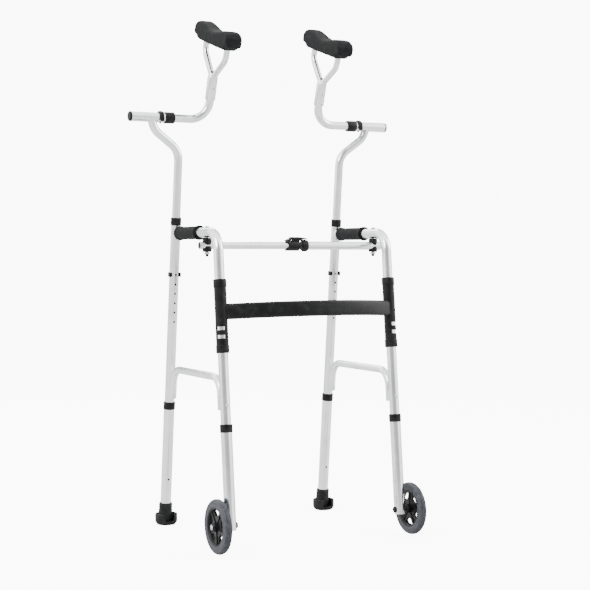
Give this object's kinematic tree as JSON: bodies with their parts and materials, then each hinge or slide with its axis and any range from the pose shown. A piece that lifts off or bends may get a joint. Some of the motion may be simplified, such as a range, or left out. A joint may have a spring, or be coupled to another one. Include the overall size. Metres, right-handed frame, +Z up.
{
  "type": "front wheeled walker",
  "caption": "Folding walking frame with two front wheels, rubber rear feet, hand grips, a bowed front brace, a clasped top bar and height-adjustable padded armpit rests.",
  "frame": {"origin": "on the floor, at the middle of the object's bounding box", "axes": "+X to the user's left, -Y forward towards the wheels, +Z up"},
  "size_m": [0.766, 0.513, 1.3398],
  "materials": {
    "aluminium": "satin anodised tube",
    "steel": "zinc-plated",
    "plastic": "black moulded, satin",
    "foam": "black foam with a skin",
    "rubber": "black moulded rubber",
    "tyre": "dark grey solid rubber"
  },
  "bodies": {
    "base": {"front_brace": "plastic"},
    "right_frame": {"right_front_leg_tube": "aluminium", "right_rear_post": "aluminium", "right_side_brace": "aluminium", "right_hand_grip": "foam", "right_post_collar": "plastic"},
    "right_bar": {"right_bar_half": "aluminium", "right_upper_saddle": "plastic", "right_hinge_bolt": "steel", "clasp_collar": "plastic"},
    "right_crutch": {"right_crutch_tube": "aluminium", "right_cross_collar": "plastic", "right_cross_end_cap": "plastic"},
    "right_height_clip": {"right_height_clip": "plastic"},
    "right_width_clip": {"right_width_clip": "plastic"},
    "right_armpit": {"right_armpit_tube": "aluminium", "right_fork_front": "aluminium", "right_fork_rear": "aluminium", "right_fork_rivet_upper": "steel", "right_fork_rivet_lower": "steel", "right_armpit_pad": "foam"},
    "right_front_leg": {"right_front_lower_leg": "aluminium", "right_front_collar": "plastic", "right_axle": "steel"},
    "right_wheel": {"right_tyre": "tyre", "right_hub": "plastic"},
    "right_rear_leg": {"right_rear_lower_leg": "aluminium", "right_rear_collar": "plastic", "right_rear_foot": "rubber"},
    "left_frame": {"left_front_leg_tube": "aluminium", "left_rear_post": "aluminium", "left_side_brace": "aluminium", "left_hand_grip": "foam", "left_post_collar": "plastic"},
    "left_bar": {"left_bar_half": "aluminium", "left_upper_saddle": "plastic", "left_hinge_bolt": "steel", "clasp_cap": "plastic"},
    "left_crutch": {"left_crutch_tube": "aluminium", "left_cross_collar": "plastic", "left_cross_end_cap": "plastic"},
    "left_height_clip": {"left_height_clip": "plastic"},
    "left_width_clip": {"left_width_clip": "plastic"},
    "left_armpit": {"left_armpit_tube": "aluminium", "left_fork_front": "aluminium", "left_fork_rear": "aluminium", "left_fork_rivet_upper": "steel", "left_fork_rivet_lower": "steel", "left_armpit_pad": "foam"},
    "left_front_leg": {"left_front_lower_leg": "aluminium", "left_front_collar": "plastic", "left_axle": "steel"},
    "left_wheel": {"left_tyre": "tyre", "left_hub": "plastic"},
    "left_rear_leg": {"left_rear_lower_leg": "aluminium", "left_rear_collar": "plastic", "left_rear_foot": "rubber"},
    "latch": {"latch_lever": "plastic"}
  },
  "joints": [
    {"name": "right_fold", "type": "hinge", "parent": "base", "child": "right_frame", "pos_m": [-0.2413, -0.14552, 0.4863], "axis": [0, -0.1032, -0.9947], "range_deg": [0, 65]},
    {"name": "right_bar_swing", "type": "hinge", "parent": "right_frame", "child": "right_bar", "pos_m": [-0.2413, -0.0503, 0.751], "axis": [0, 0, 1], "range_deg": [0, 75]},
    {"name": "right_crutch_height", "type": "slide", "parent": "right_frame", "child": "right_crutch", "axis": [0, -0.1014, 0.9948], "range_m": [-0.15, 0]},
    {"name": "right_height_clip_pull", "type": "slide", "parent": "right_crutch", "child": "right_height_clip", "axis": [0, 0.9948, 0.1014], "range_m": [0, 0.03]},
    {"name": "right_armpit_width", "type": "slide", "parent": "right_crutch", "child": "right_armpit", "axis": [-1, 0, 0], "range_m": [-0.04, 0.02]},
    {"name": "right_width_clip_pull", "type": "slide", "parent": "right_crutch", "child": "right_width_clip", "axis": [0, 0, 1], "range_m": [0, 0.032]},
    {"name": "right_front_leg_height", "type": "slide", "parent": "right_frame", "child": "right_front_leg", "axis": [0, -0.1032, -0.9947], "range_m": [0, 0.1]},
    {"name": "right_wheel_spin", "type": "hinge", "parent": "right_front_leg", "child": "right_wheel", "pos_m": [-0.2743, -0.189, 0.0675], "axis": [1, 0, 0], "continuous": true},
    {"name": "right_rear_leg_height", "type": "slide", "parent": "right_frame", "child": "right_rear_leg", "axis": [0, 0.1014, -0.9948], "range_m": [0, 0.1]},
    {"name": "left_fold", "type": "hinge", "parent": "base", "child": "left_frame", "pos_m": [0.2413, -0.14552, 0.4863], "axis": [0, -0.1032, -0.9947], "range_deg": [-65, 0]},
    {"name": "left_bar_swing", "type": "hinge", "parent": "left_frame", "child": "left_bar", "pos_m": [0.2413, -0.0503, 0.751], "axis": [0, 0, -1], "range_deg": [0, 75]},
    {"name": "left_crutch_height", "type": "slide", "parent": "left_frame", "child": "left_crutch", "axis": [0, -0.1014, 0.9948], "range_m": [-0.15, 0]},
    {"name": "left_height_clip_pull", "type": "slide", "parent": "left_crutch", "child": "left_height_clip", "axis": [0, 0.9948, 0.1014], "range_m": [0, 0.03]},
    {"name": "left_armpit_width", "type": "slide", "parent": "left_crutch", "child": "left_armpit", "axis": [1, 0, 0], "range_m": [-0.04, 0.02]},
    {"name": "left_width_clip_pull", "type": "slide", "parent": "left_crutch", "child": "left_width_clip", "axis": [0, 0, 1], "range_m": [0, 0.032]},
    {"name": "left_front_leg_height", "type": "slide", "parent": "left_frame", "child": "left_front_leg", "axis": [0, -0.1032, -0.9947], "range_m": [0, 0.1]},
    {"name": "left_wheel_spin", "type": "hinge", "parent": "left_front_leg", "child": "left_wheel", "pos_m": [0.2743, -0.189, 0.0675], "axis": [1, 0, 0], "continuous": true},
    {"name": "left_rear_leg_height", "type": "slide", "parent": "left_frame", "child": "left_rear_leg", "axis": [0, 0.1014, -0.9948], "range_m": [0, 0.1]},
    {"name": "latch_lift", "type": "hinge", "parent": "right_bar", "child": "latch", "pos_m": [-0.0035, -0.0503, 0.7696], "axis": [0, -1, 0], "range_deg": [0, 35], "stiffness_Nm_per_rad": 0.3, "springref_deg": -17.19}
  ]
}
